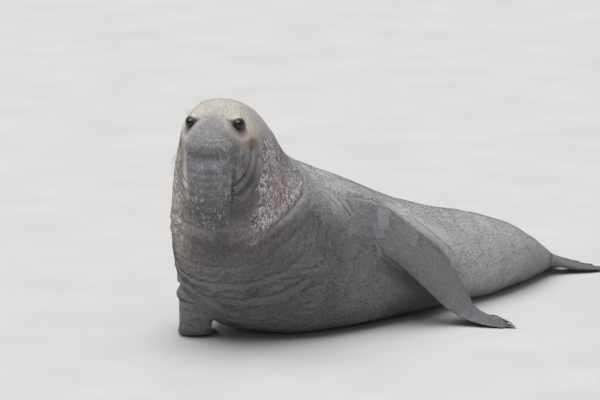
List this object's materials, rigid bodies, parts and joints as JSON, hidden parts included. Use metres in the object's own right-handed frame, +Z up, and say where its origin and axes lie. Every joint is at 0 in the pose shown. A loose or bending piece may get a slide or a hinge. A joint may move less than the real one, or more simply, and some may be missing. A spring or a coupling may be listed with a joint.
{
  "type": "elephant seal",
  "caption": "Life-size still model of a bull elephant seal lying on its belly with its neck raised and its head turned to its left.",
  "frame": {"origin": "on the floor, under the middle of the animal box", "axes": "+Z up, the tail to +Y, the head to -Y, the animal's left side to +X"},
  "size_m": [1.5194, 3.7418, 1.5094],
  "materials": {
    "hide": "short flat fur over thick skin, scarred on the neck",
    "eye": "wet, glossy",
    "claw": "worn horn"
  },
  "bodies": {
    "root": {"head": "hide", "proboscis": "hide", "lower_jaw": "hide", "neck": "hide", "chest": "hide", "abdomen": "hide", "hindquarters": "hide", "tail": "hide", "fore_flipper_left": "hide", "fore_flipper_right": "hide", "hind_flipper_left": "hide", "hind_flipper_right": "hide", "eye_left": "eye", "eye_right": "eye", "claw_left_1": "claw", "claw_left_2": "claw", "claw_left_3": "claw", "claw_left_4": "claw", "claw_left_5": "claw", "claw_right_1": "claw", "claw_right_2": "claw", "claw_right_3": "claw", "claw_right_4": "claw", "claw_right_5": "claw"}
  },
  "joints": []
}
